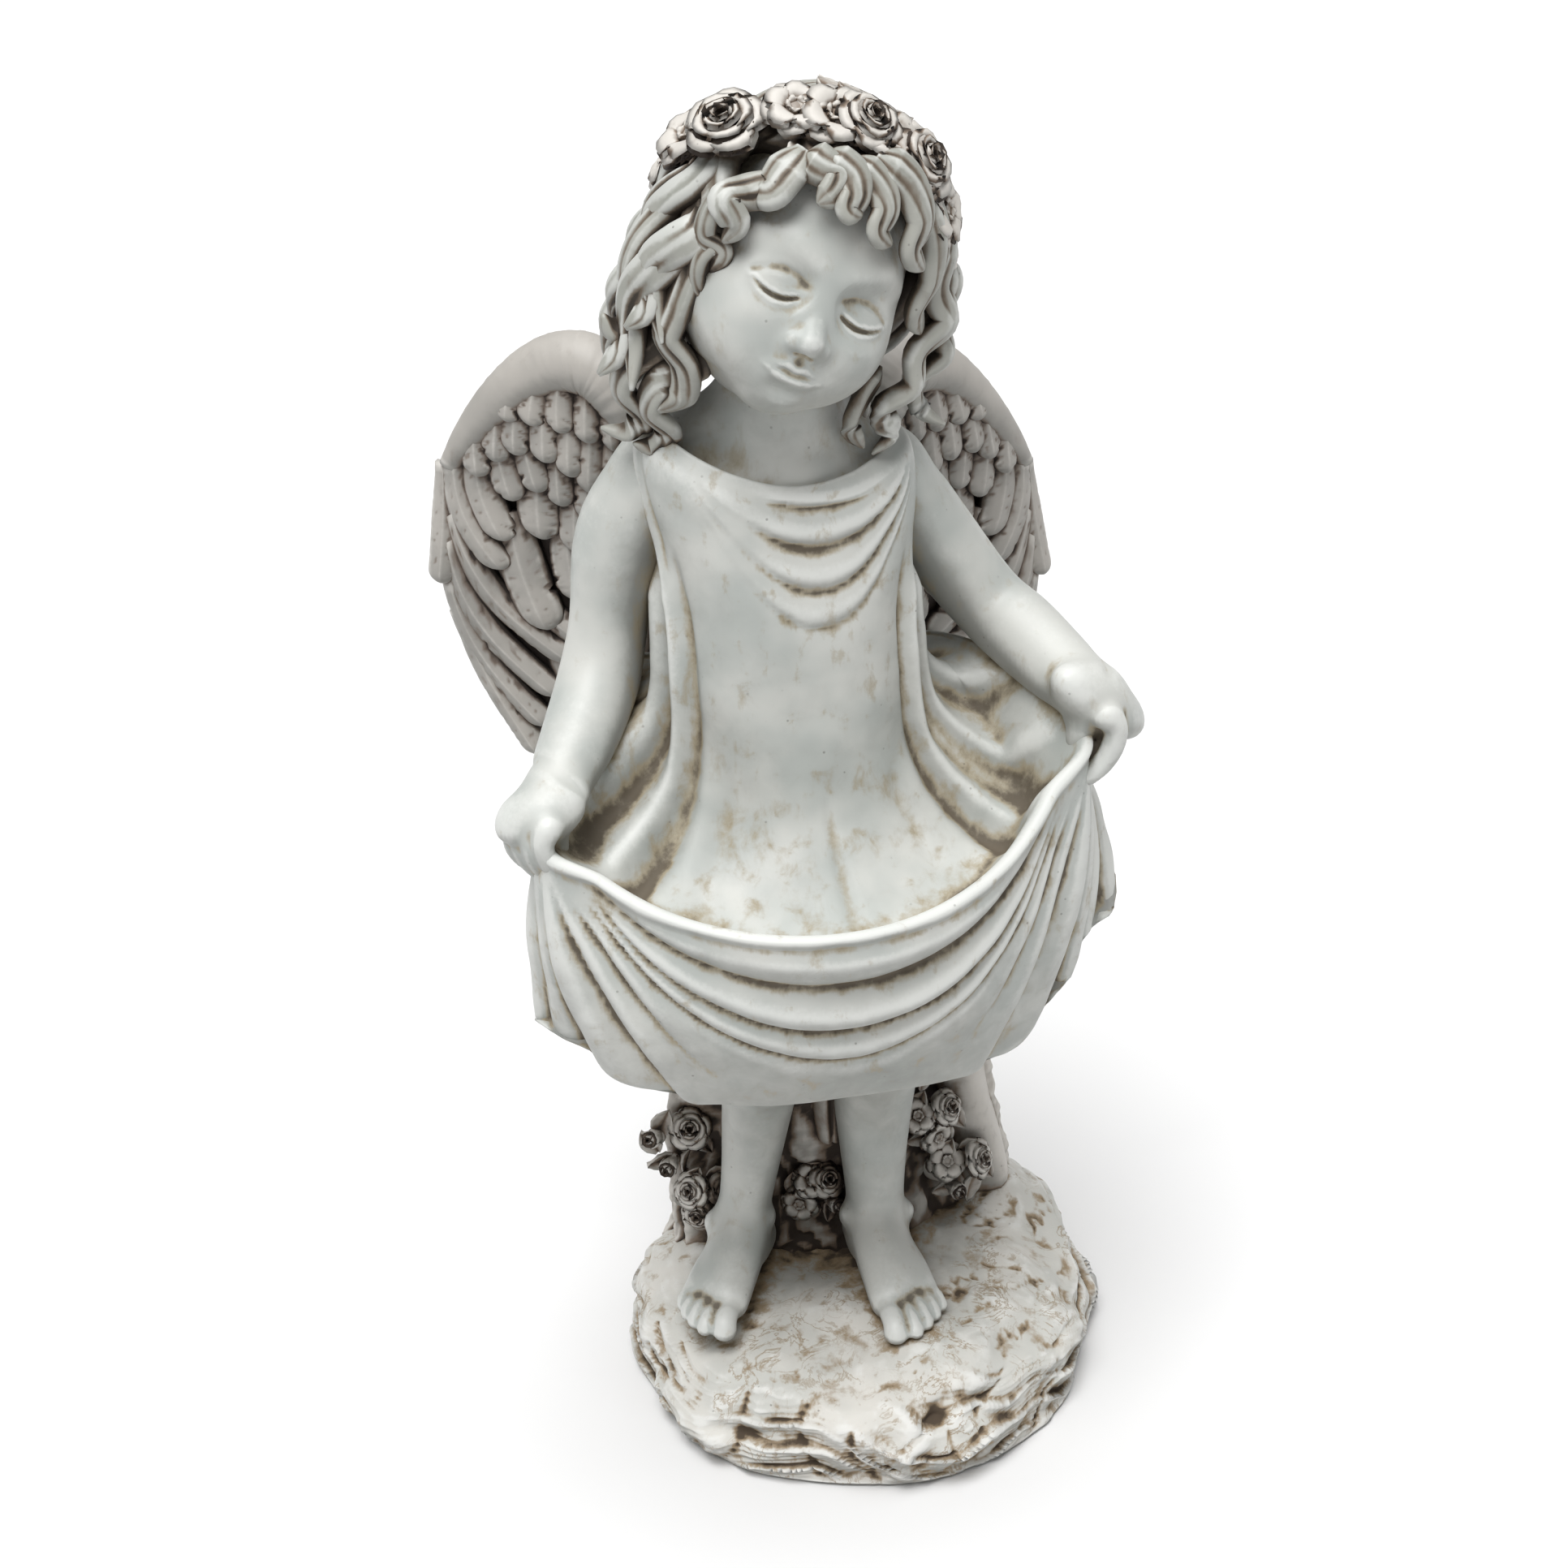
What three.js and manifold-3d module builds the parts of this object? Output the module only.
// Cherub garden statue, cast in one piece: a small winged girl with a wreath of roses stands barefoot on a
// rock mound, in front of a stump overgrown with flowers, and holds the hem of her dress out as a basin.
// Millimetres, +Z up. She faces -Y and her right hand is at -X.
// The origin is the centre of the flat underside.
import * as THREE from "three";
import { mergeVertices } from "three/addons/utils/BufferGeometryUtils.js";
import Module from "manifold-3d";

const wasm = await Module();
wasm.setup();

// ---- Driving dimensions ----
const FIGURE_X = -18; // the figure's upright axis, measured from the middle of the rock
const SHOULDER_FALL = 0.12; // the shoulder line and the wings fall towards her left by this slope
const BASE = { radius: 93, bulge: 15, edge: 33, top: 42 };
const RIM = { hand: 64, right: 272, left: 286, front: 252 }; // degrees from the front, then heights
const HEAD = {
  at: new THREE.Vector3(7, -4, 453),
  half: new THREE.Vector3(35, 39, 46),
  roll: 30, // towards her left shoulder
  pitch: -5,
  yaw: 5,
};
const WING = { root: [22, 36], sweep: 26, wrist: [97, 352] };
const ROSE = 10.5; // radius of a full rose of the wreath

const rad = THREE.MathUtils.degToRad;
const { lerp, smoothstep, clamp } = THREE.MathUtils;
const vec = (x, y, z) => new THREE.Vector3(x, y, z);
const bump = (x, centre, width) => Math.exp(-(((x - centre) / width) ** 2));

// ---- Solids ----

// A closed mesh as a solid, turned to face outwards.
function solid(geometry) {
  const bare = geometry.clone();
  bare.deleteAttribute("normal");
  bare.deleteAttribute("uv");
  const merged = mergeVertices(bare, 1e-4);
  const triVerts = new Uint32Array(merged.index.array);
  const make = () =>
    new wasm.Manifold(
      new wasm.Mesh({ numProp: 3, vertProperties: merged.attributes.position.array, triVerts }),
    );
  const made = make();
  if (made.volume() > 0) return made;
  for (let i = 0; i < triVerts.length; i += 3) {
    [triVerts[i + 1], triVerts[i + 2]] = [triVerts[i + 2], triVerts[i + 1]];
  }
  return make();
}

// A closed skin over rings of equally many points, fanned shut at both ends.
function skin(rings) {
  const n = rings[0].length;
  const points = rings.flat();
  const middle = (ring) =>
    ring.reduce((sum, p) => sum.add(p), new THREE.Vector3()).divideScalar(n);
  const first = points.push(middle(rings[0])) - 1;
  const last = points.push(middle(rings[rings.length - 1])) - 1;
  const faces = [];
  for (let r = 0; r + 1 < rings.length; r++) {
    for (let i = 0; i < n; i++) {
      const [a, b] = [r * n + i, r * n + ((i + 1) % n)];
      faces.push(a, b, a + n, b, b + n, a + n);
    }
  }
  const end = (rings.length - 1) * n;
  for (let i = 0; i < n; i++) {
    faces.push(first, (i + 1) % n, i);
    faces.push(last, end + i, end + ((i + 1) % n));
  }
  const geometry = new THREE.BufferGeometry().setFromPoints(points);
  return solid(geometry.setIndex(faces));
}

// Smooth value at x through the pairs [x, value], level beyond the ends.
function track(pairs, x) {
  const last = pairs.length - 1;
  if (x <= pairs[0][0]) return pairs[0][1];
  if (x >= pairs[last][0]) return pairs[last][1];
  const i = pairs.findIndex((pair) => pair[0] > x) - 1;
  const slope = (k) => {
    const [a, b] = [Math.max(k - 1, 0), Math.min(k + 1, last)];
    return k === 0 || k === last ? 0 : (pairs[b][1] - pairs[a][1]) / (pairs[b][0] - pairs[a][0]);
  };
  const span = pairs[i + 1][0] - pairs[i][0];
  const t = (x - pairs[i][0]) / span;
  const [t2, t3] = [t * t, t * t * t];
  return (
    (2 * t3 - 3 * t2 + 1) * pairs[i][1] +
    (t3 - 2 * t2 + t) * span * slope(i) +
    (3 * t2 - 2 * t3) * pairs[i + 1][1] +
    (t3 - t2) * span * slope(i + 1)
  );
}

// A round limb through the stations [x, y, z, radius], rounded off at both ends.
function limb(stations, steps = 6, sides = 10, flat = 1) {
  const curve = new THREE.CatmullRomCurve3(stations.map(([x, y, z]) => vec(x, y, z)));
  const radii = stations.map((s, i) => [i / (stations.length - 1), s[3]]);
  const rings = [];
  for (let k = 0; k <= steps; k++) {
    const t = (1 - Math.cos((Math.PI * k) / steps)) / 2;
    const end = Math.min(t, 1 - t) * steps;
    const round = Math.sqrt(1 - (1 - clamp(end, 0.12, 1)) ** 2);
    const centre = curve.getPoint(t);
    const along = curve.getTangent(t);
    const side = vec(1, 0.01, 0).cross(along).normalize();
    const up = along.clone().cross(side);
    const r = track(radii, t) * round;
    rings.push(
      Array.from({ length: sides }, (_, i) => {
        const a = (2 * Math.PI * i) / sides;
        return centre
          .clone()
          .addScaledVector(side, r * flat * Math.cos(a))
          .addScaledVector(up, r * Math.sin(a));
      }),
    );
  }
  return skin(rings);
}

const join = (parts) => parts.reduce((all, part) => all.add(part));

// The fall of the shoulder line, from nothing at the hips to its full slope at the neck.
function lean(p) {
  return p.setZ(p.z - p.x * SHOULDER_FALL * smoothstep(p.z, 270, 360));
}

// ---- Rock and stump ----

function rock() {
  const outline = (a) =>
    BASE.radius *
    (1 + 0.025 * Math.sin(2 * a + 0.6) + 0.03 * Math.sin(3 * a - 0.5) + 0.012 * Math.sin(7 * a));
  const profile = [
    [0.9, 0],
    [0.99, BASE.bulge * 0.5],
    [1, BASE.bulge],
    [0.95, BASE.edge * 0.8],
    [0.88, BASE.edge],
    [0.7, BASE.top - 3],
    [0.4, BASE.top],
    [0.12, BASE.top],
  ];
  const lump = (x, y) =>
    14 * bump(x, 62, 26) * bump(y, 34, 26) +
    9 * bump(x, -60, 24) * bump(y, 34, 24) +
    2.5 * Math.sin(x / 13) * Math.sin(y / 11 + 1);
  return skin(
    profile.map(([reach, z]) =>
      Array.from({ length: 26 }, (_, i) => {
        const a = (2 * Math.PI * i) / 26;
        const r = outline(a) * reach * (1 + 0.02 * Math.sin(5 * a + z / 6));
        const [x, y] = [r * Math.cos(a), r * Math.sin(a)];
        return vec(x, y, z + lump(x, y) * smoothstep(z, BASE.bulge, BASE.top));
      }),
    ),
  );
}

// The overgrown stump behind the legs, from the rock up into the skirt.
function stump() {
  const levels = [
    [30, -4, 34, 72, 30],
    [58, -4, 34, 66, 23],
    [95, -3, 33, 64, 19],
    [130, 0, 32, 58, 18],
    [175, 2, 28, 44, 18],
  ];
  return skin(
    levels.map(([z, x, y, wide, deep]) =>
      Array.from({ length: 14 }, (_, i) => {
        const a = (2 * Math.PI * i) / 14;
        const grain = 1 + 0.07 * Math.sin(5 * a + z / 25);
        return vec(x + wide * grain * Math.cos(a), y + deep * grain * Math.sin(a), z);
      }),
    ),
  );
}

// A rose in outline, as a cup.
function rose(at, radius, facing) {
  const turn = new THREE.Quaternion().setFromUnitVectors(vec(0, 0, 1), facing.clone().normalize());
  const petals = 6;
  const rings = [
    [0.7, -0.6],
    [1, 0.1],
    [0.6, 0.65],
  ];
  return skin(
    rings.map(([reach, height]) =>
      Array.from({ length: petals }, (_, i) => {
        const r = radius * reach;
        const a = (2 * Math.PI * i) / petals;
        return vec(r * Math.cos(a), r * Math.sin(a), radius * height).applyQuaternion(turn).add(at);
      }),
    ),
  );
}

function stumpRoses() {
  return [
    [-70, 24, 88, 13],
    [-60, 17, 64, 12],
    [-15, 14, 64, 13],
    [36, 16, 92, 13],
    [46, 16, 68, 12],
    [0, 52, 78, 13],
  ].map(([x, y, z, radius]) => rose(vec(x, y, z), radius, vec(x * 0.4, y < 30 ? -30 : 30, 14)));
}

// ---- Legs and feet ----

// A bare foot from the ankle, with five toes fanned across its front.
function foot(ankle, heading, length, sole, side) {
  const along = vec(Math.sin(rad(heading)), -Math.cos(rad(heading)), 0);
  const across = vec(-along.y, along.x, 0).multiplyScalar(side);
  const place = (forward, sideways, up) =>
    vec(ankle.x, ankle.y, 0)
      .addScaledVector(along, forward)
      .addScaledVector(across, sideways)
      .setZ(sole + up);
  const station = (forward, up, radius) => [...place(forward, 0, up).toArray(), radius];
  const parts = [
    limb(
      [
        station(-0.2 * length, 9, 10),
        station(0.1 * length, 13, 12),
        station(0.45 * length, 7, 12.5),
        station(0.62 * length, 4, 10),
      ],
      5,
      8,
      0.8,
    ),
  ];
  for (let toe = 0; toe < 5; toe++) {
    const radius = toe === 0 ? 5.4 : 3.9 - 0.25 * toe;
    const sideways = toe === 0 ? -9 : -2.5 + 5.2 * (toe - 1);
    const reach = length * (toe === 0 ? 0.8 : 0.79 - 0.055 * toe);
    const root = place(reach - 12, sideways * 0.85, 5);
    const tip = place(reach, sideways, 3.4);
    parts.push(limb([[...root.toArray(), radius], [...tip.toArray(), radius]], 2, 5));
  }
  return join(parts);
}

function legs() {
  const left = [
    [20, 2, 205, 24],
    [25, -4, 135, 18],
    [24, 0, 105, 14],
    [23, -3, 72, 11.5],
    [23, -4, 52, 11],
  ];
  const right = [
    [-20, 4, 205, 24],
    [-18, 2, 135, 17],
    [-23, 6, 105, 12.5],
    [-27, 4, 76, 10.5],
    [-30, 3, 56, 10.5],
  ];
  return [
    limb(left, 6, 9),
    limb(right, 6, 9),
    foot(vec(23, -4, 0), 6, 68, 42, 1),
    foot(vec(-30, 3, 0), -32, 56, 44, -1),
  ];
}

// ---- Dress ----

// Each level of the dress as a radius and a height over c, the angle from the front in degrees.
// From the neck it runs down the bodice, out over the basin's floor and rim, and down to the hem.
const LEVELS = {
  collar: {
    r: [[0, 26], [45, 32], [90, 41], [135, 36], [180, 27]],
    z: [[0, 383], [45, 386], [90, 394], [180, 397]],
  },
  shoulder: {
    r: [[0, 29], [45, 37], [90, 47], [135, 42], [180, 34]],
    z: [[0, 364], [90, 378], [180, 384]],
  },
  chest: {
    r: [[0, 33], [45, 39], [90, 43], [135, 42], [180, 37]],
    z: [[0, 336], [90, 346], [180, 352]],
  },
  belly: {
    r: [[0, 37], [45, 41], [90, 44], [135, 43], [180, 38]],
    z: [[0, 300], [90, 325], [180, 328]],
  },
  slope: {
    r: [[0, 46], [52, 50], [64, 51], [97, 47], [180, 40]],
    z: [[0, 262], [52, 268], [97, 304], [180, 306]],
  },
  floor: {
    r: [[0, 80], [52, 82], [64, 84], [97, 57], [180, 42]],
    z: [[0, 237], [52, 248], [64, 256], [97, 296], [180, 292]],
  },
};
const RIM_R = [[0, 99], [52, 100], [64, 107], [80, 88], [97, 70], [180, 45]];
const HEM_R = {
  right: [[0, 76], [31, 82], [52, 94], [64, 108], [85, 92], [110, 83], [180, 68]],
  left: [[0, 76], [31, 82], [52, 94], [64, 110], [76, 117], [92, 100], [112, 84], [180, 68]],
};
const HEM_Z = {
  right: [[0, 171], [31, 169], [52, 176], [64, 189], [85, 184], [110, 170], [180, 160]],
  left: [[0, 171], [31, 170], [52, 178], [76, 204], [95, 182], [110, 170], [180, 160]],
};
const RIM_BACK = 286;

// Folds that hang from both hands: across the front they are swags, and below the hands they fan downwards.
function swag(c, drop) {
  const sag = Math.max(Math.cos((Math.PI / 2) * Math.min(Math.abs(c) / RIM.hand, 1)), 0.02);
  const fan = Math.atan2(drop, 62 * sag);
  return 3 * Math.cos(12.5 * fan) * smoothstep(drop, 3, 14);
}

// Upright pleats round the sides and the back.
const pleat = (c, drop) => 0.045 * Math.min(drop, 90) * Math.cos(rad(c) * 13);

function rimHeight(c, hand) {
  const heights = [
    [0, RIM.front],
    [35, lerp(RIM.front, hand, 0.25)],
    [RIM.hand, hand],
    [82, hand + 16],
    [105, 302],
    [180, RIM_BACK],
  ];
  return track(heights, Math.abs(c));
}

function dressPoint(c, level) {
  const side = Math.abs(c);
  const at = (name) => [track(LEVELS[name].r, side), track(LEVELS[name].z, side)];
  const hand = c < 0 ? RIM.right : RIM.left;
  const rim = [track(RIM_R, side), rimHeight(c, hand)];
  const flank = c < 0 ? "right" : "left";
  const hem = [track(HEM_R[flank], side), track(HEM_Z[flank], side)];
  const lip = 5 * (1 - smoothstep(side, 75, 110));
  const down = (share, out) => {
    const drop = share * (rim[1] - hem[1]);
    const front = 1 - smoothstep(side, 58, 78);
    const fold = lerp(pleat(c, drop), swag(c, drop), front);
    return [lerp(rim[0], hem[0], share) + out + fold, rim[1] - drop];
  };
  const stops = {
    neck: () => [16, 402],
    inner: () => [rim[0] - lip - 1, rim[1] - lip],
    rim: () => rim,
    outer: () => [rim[0] + lip * 0.5, rim[1] - 4 - lip * 0.4],
    underhem: () => [hem[0] - 6, hem[1] + 3],
    middle: () => [25, lerp(185, 178, side / 180)],
  };
  if (typeof level === "number") return down(level, 6 * Math.sin(Math.PI * level));
  if (stops[level]) return stops[level]();
  return at(level);
}

// U-shaped folds of the loose neckline, hung between the shoulders.
function cowl(c, z) {
  const sag = Math.cos((Math.PI / 2) * Math.min(Math.abs(c) / 80, 1));
  if (sag <= 0) return 0;
  const fan = Math.atan2(386 - z, 60 * sag);
  return 2.2 * Math.sin(17 * fan) * smoothstep(z, 300, 330) * (1 - smoothstep(z, 378, 384)) * sag;
}

function dress() {
  const levels = ["neck", "collar", "shoulder", "chest", "belly", "slope", "floor", "inner", "rim", "outer"];
  const bodice = new Set(["collar", "shoulder", "chest", "belly"]);
  const drops = [0.16, 0.28, 0.4, 0.52, 0.64, 0.76, 0.88, 1];
  const around = 36;
  const ring = (level) =>
    Array.from({ length: around }, (_, i) => {
      const c = -180 + (360 * i) / around;
      const [r, z] = dressPoint(c, level);
      const reach = r + (bodice.has(level) ? cowl(c, z) : 0);
      return lean(vec(reach * Math.sin(rad(c)), -reach * Math.cos(rad(c)), z));
    });
  return skin([...levels, ...drops, "underhem", "middle"].map(ring));
}

// ---- Arms and hands ----

// A fist closed on the rim: the back of the hand, four fingers curled down outside and the thumb inside.
function hand(wrist, knuckles, outwards) {
  const along = knuckles.clone().sub(wrist).normalize();
  const spread = vec(0, 0, 1).cross(outwards).normalize();
  const middle = wrist.clone().lerp(knuckles, 0.55);
  const palm = [
    [...wrist.toArray(), 12],
    [...middle.toArray(), 14.5],
    [...knuckles.toArray(), 12],
  ];
  const parts = [limb(palm, 4, 8, 0.85)];
  for (let finger = 0; finger < 4; finger++) {
    const root = knuckles.clone().addScaledVector(spread, -10 + 6.6 * finger).addScaledVector(along, 2);
    const bend = root.clone().addScaledVector(outwards, 5).add(vec(0, 0, -8));
    const tip = root.clone().addScaledVector(outwards, 0).add(vec(0, 0, -20));
    parts.push(limb([root, bend, tip].map((p) => [...p.toArray(), 4.6]), 3, 5));
  }
  const thumb = wrist.clone().lerp(knuckles, 0.4).addScaledVector(outwards, -9);
  const tip = knuckles.clone().addScaledVector(outwards, -13).add(vec(0, 0, -14));
  parts.push(limb([[...thumb.toArray(), 5], [...tip.toArray(), 4]], 3, 5));
  return join(parts);
}

function arms() {
  const right = [
    [-44, 12, 377, 15],
    [-54, 13, 360, 15.5],
    [-62, 13, 320, 14],
    [-74, -4, 298, 14.5],
    [-88, -26, 283, 11.5],
  ];
  const left = [
    [43, 14, 365, 14],
    [54, 14, 350, 15],
    [76, 8, 314, 14.5],
    [90, -14, 302, 14.5],
    [100, -34, 297, 12],
  ];
  return [
    limb(right, 7, 9),
    limb(left, 7, 9),
    hand(vec(-88, -27, 283), vec(-100, -42, 276), vec(-0.85, -0.5, 0).normalize()),
    hand(vec(100, -35, 297), vec(106, -48, 291), vec(0.85, -0.5, 0).normalize()),
  ];
}

// ---- Head, hair and wreath ----

const headTurn = new THREE.Quaternion().setFromEuler(
  new THREE.Euler(rad(HEAD.pitch), rad(HEAD.roll), rad(HEAD.yaw), "ZYX"),
);
const onHead = (x, y, z) => vec(x, y, z).applyQuaternion(headTurn).add(HEAD.at);

// A calm, generic child's head: full cheeks, small nose and chin, closed lids.
function head() {
  const features = [
    { at: [0, -3], size: [4, 6], out: 6 }, // nose
    { at: [0, -17], size: [7, 3], out: 2.4 }, // lips
    { at: [0, -27], size: [8, 5], out: 3 }, // chin
    { at: [16, -12], size: [11, 10], out: 3 }, // cheeks
    { at: [13, 4], size: [6, 4], out: -2.5 }, // eye hollows
  ];
  const relief = (x, z) =>
    features.reduce(
      (sum, f) => sum + f.out * bump(Math.abs(x), f.at[0], f.size[0]) * bump(z, f.at[1], f.size[1]),
      0,
    );
  const [wide, high] = [18, 12];
  const rings = [];
  for (let j = 1; j < high; j++) {
    const b = (Math.PI * j) / high;
    rings.push(
      Array.from({ length: wide }, (_, i) => {
        const a = (2 * Math.PI * i) / wide;
        const narrow = 1 - 0.1 * Math.max(-Math.cos(b), 0);
        const x = HEAD.half.x * Math.sin(b) * Math.cos(a) * narrow;
        const y = HEAD.half.y * Math.sin(b) * Math.sin(a);
        const z = HEAD.half.z * Math.cos(b);
        const front = smoothstep(-y, 4, 20);
        return onHead(x, y - relief(x, z) * front, z);
      }),
    );
  }
  const neck = limb([[2, 6, 372, 23], [2, 4, 392, 19.5], [4, 3, 425, 18]], 4, 10);
  return join([skin(rings), neck]);
}

// A wavy lock that falls from one height on the head to another, swinging in and out on its way.
function lock(turn, fromHigh, toLow, fat, phase) {
  const steps = 6;
  const points = Array.from({ length: steps + 1 }, (_, k) => {
    const t = k / steps;
    const swing = Math.sin(phase + 2.2 * Math.PI * t);
    const a = rad(turn + 8 * swing);
    const high = lerp(fromHigh, toLow, t);
    const shelf = Math.sqrt(Math.max(1 - (Math.max(high, 0) / 56) ** 2, 0.1));
    const out = (43 + 5 * Math.sin(Math.PI * t) + 5 * swing) * shelf;
    return [...onHead(out * Math.sin(a), out * Math.cos(a) * 0.95 + 4, high).toArray(), fat * (1 - 0.35 * t)];
  });
  return limb(points, 5, 6);
}

// The mass of hair, combed in waves from the crown.
function cap() {
  const [wide, high] = [18, 9];
  return skin(
    Array.from({ length: high - 1 }, (_, j) => {
      const b = (Math.PI * (j + 1)) / high;
      return Array.from({ length: wide }, (_, i) => {
        const a = (2 * Math.PI * i) / wide;
        const wave = 1 + 0.035 * Math.sin(6 * a + 5 * b) * Math.sin(b);
        const out = 43 * Math.sin(b) * wave;
        return onHead(out * Math.cos(a), 6 + out * Math.sin(a), 12 + 52 * Math.cos(b) * wave);
      });
    }),
  );
}

function hair() {
  const parts = [cap()];
  const locks = 7;
  for (let k = 0; k < locks; k++) {
    const turn = -104 + (208 * k) / (locks - 1); // from her right ear round the back to her left ear
    parts.push(lock(turn, 30, -38 - 8 * (k % 2), 16, k * 1.3));
  }
  for (let k = 0; k < 5; k++) {
    const a = rad(-64 + 32 * k); // across the forehead
    const from = onHead(34 * Math.sin(a), -26 * Math.cos(a), 40);
    const bend = onHead(40 * Math.sin(a + 0.12), -36 * Math.cos(a), 30 - 10 * Math.abs(Math.sin(a)));
    const to = onHead(39 * Math.sin(a - 0.08), -37 * Math.cos(a), 20 - 14 * Math.abs(Math.sin(a)));
    parts.push(limb([[...from.toArray(), 10], [...bend.toArray(), 10], [...to.toArray(), 7]], 3, 6));
  }
  return parts;
}

// Roses on a ring that is high over the forehead and low behind the ears.
function wreath() {
  const count = 11;
  return Array.from({ length: count }, (_, k) => {
    const a = (2 * Math.PI * (k + 0.5)) / count;
    const high = 24 + 20 * Math.cos(a);
    const shelf = Math.sqrt(1 - ((high - 12) / 52) ** 2);
    const at = onHead((43 * shelf + 1) * Math.sin(a), 6 - (43 * shelf + 1) * Math.cos(a), high);
    return rose(at, ROSE * (k % 3 === 1 ? 0.85 : 1), at.clone().sub(HEAD.at));
  });
}

// ---- Wings ----

// A feather from base to tip across the wing, bowed sideways, as a slim keel.
function feather(place, base, tip, bow, width, rise, thick) {
  const along = vec(tip[0] - base[0], tip[1] - base[1], 0);
  const across = vec(-along.y, along.x, 0).normalize();
  const steps = 3;
  const rings = [];
  for (let k = 0; k <= steps; k++) {
    const t = k / steps;
    const round = 0.55 + 0.45 * Math.sin(Math.PI * Math.min(t + 0.15, 1));
    const swell = width * round * (k === steps ? 0.45 : 1);
    const mid = vec(base[0], base[1], 0)
      .addScaledVector(along, t)
      .addScaledVector(across, bow * Math.sin(Math.PI * t));
    const edge = (share) => mid.clone().addScaledVector(across, (share * swell) / 2);
    const [left, right] = [edge(-1), edge(1)];
    rings.push([
      place(left.x, left.y, rise - 0.3 * thick),
      place(mid.x, mid.y, rise + 0.5 * thick),
      place(right.x, right.y, rise - 0.3 * thick),
      place(mid.x, mid.y, rise - thick),
    ]);
  }
  return skin(rings);
}

// One wing in its own plane: p runs outwards from the root, q is the height, and rise is towards the front.
function wing(side) {
  const turn = rad(WING.sweep);
  const place = (p, q, rise) => {
    const front = rise - 7 * Math.sin((Math.PI * p) / 120);
    const out = p * Math.cos(turn) + front * Math.sin(turn);
    const back = p * Math.sin(turn) - front * Math.cos(turn);
    const x = side * (WING.root[0] + out);
    return vec(x, WING.root[1] + back, q - x * SHOULDER_FALL);
  };
  const lead = (s) => {
    const curve = new THREE.CubicBezierCurve(
      new THREE.Vector2(8, 366),
      new THREE.Vector2(24, 432),
      new THREE.Vector2(68, 412),
      new THREE.Vector2(...WING.wrist),
    );
    const at = curve.getPoint(s);
    return [at.x, at.y];
  };
  const trail = (s) => {
    const curve = new THREE.CubicBezierCurve(
      new THREE.Vector2(6, 268),
      new THREE.Vector2(16, 216),
      new THREE.Vector2(76, 206),
      new THREE.Vector2(97, 292),
    );
    const at = curve.getPoint(s);
    return [at.x, at.y];
  };
  const seven = [...Array(7).keys()];
  const outline = seven.map((k) => lead(k / 6)).concat(seven.map((k) => trail(1 - k / 6)));
  const inset = ([p, q]) => [lerp(p, 50, 0.08), lerp(q, 310, 0.06)];
  const slab = skin([
    outline.map(inset).map(([p, q]) => place(p, q, -5)),
    outline.map(([p, q]) => place(p, q, -1)),
    outline.map(inset).map(([p, q]) => place(p, q, 3)),
  ]);
  const parts = [slab];
  const rows = [
    { count: 5, from: 0.4, to: 1, width: 24, rise: 2.5, thick: 4 },
    { count: 4, from: 0.12, to: 0.58, width: 26, rise: 5, thick: 4 },
  ];
  for (const row of rows) {
    for (let k = 0; k < row.count; k++) {
      const s = 0.07 + (0.83 * k) / (row.count - 1);
      const [a, b] = [lead(s), trail(s)];
      const along = (t) => [lerp(a[0], b[0], t), lerp(a[1], b[1], t)];
      parts.push(feather(place, along(row.from), along(row.to), 5 * s, row.width, row.rise, row.thick));
    }
  }
  const edge = Array.from({ length: 6 }, (_, k) => {
    const [p, q] = lead(0.03 + 0.19 * k);
    return [...place(p, q - 4, 4).toArray(), 9 - 0.9 * k];
  });
  parts.push(limb(edge, 6, 7));
  return join(parts);
}

// ---- The casting ----

function statue() {
  const figure = join([
    dress(),
    ...legs(),
    ...arms(),
    head(),
    ...hair(),
    ...wreath(),
    wing(1),
    wing(-1),
  ]).translate([FIGURE_X, 0, 0]);
  const whole = join([figure, rock(), stump(), ...stumpRoses()]);
  const mesh = whole.getMesh();
  const geometry = new THREE.BufferGeometry();
  const positions = new Float32Array(mesh.numVert * 3);
  for (let i = 0; i < mesh.numVert; i++) {
    positions.set(mesh.vertProperties.subarray(i * mesh.numProp, i * mesh.numProp + 3), i * 3);
  }
  geometry.setAttribute("position", new THREE.BufferAttribute(positions, 3));
  geometry.setIndex(new THREE.BufferAttribute(mesh.triVerts, 1));
  geometry.computeVertexNormals();
  return geometry;
}

const stone = new THREE.MeshStandardMaterial({ color: 0xd9d8d0, roughness: 0.8, metalness: 0 });
const cherub = new THREE.Mesh(statue(), stone);
cherub.name = "cherub_statue";

const group = new THREE.Group();
group.add(cherub);
export default group;
